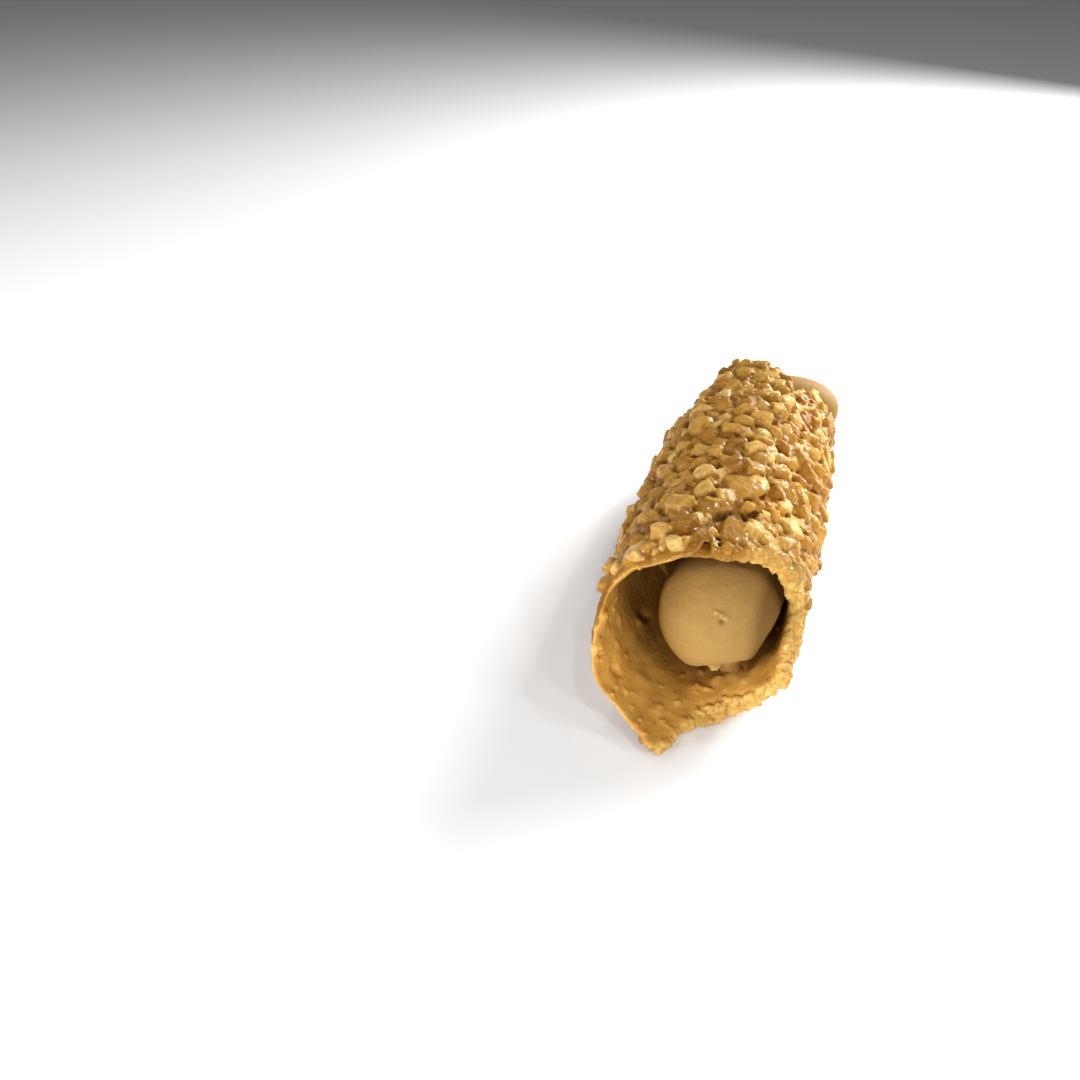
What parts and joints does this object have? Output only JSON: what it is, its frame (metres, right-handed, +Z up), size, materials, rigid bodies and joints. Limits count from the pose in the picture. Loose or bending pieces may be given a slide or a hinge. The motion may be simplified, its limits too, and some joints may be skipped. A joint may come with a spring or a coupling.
{
  "type": "cannoli",
  "caption": "Rolled pastry tube with a pointed open mouth, a coat of chopped nuts in caramel outside and a smooth cream filling that shows at both ends.",
  "frame": {"origin": "middle of the underside, on the surface that it rests on", "axes": "+Y along the tube from the open front mouth towards the back, +Z up, +X to the right seen from the mouth"},
  "size_m": [0.0416, 0.1148, 0.0415],
  "materials": {
    "shell": "semi-gloss caramel with matte chopped nuts",
    "cream": "smooth, soft sheen"
  },
  "bodies": {
    "root": {"shell": "shell", "cream": "cream"}
  },
  "joints": []
}
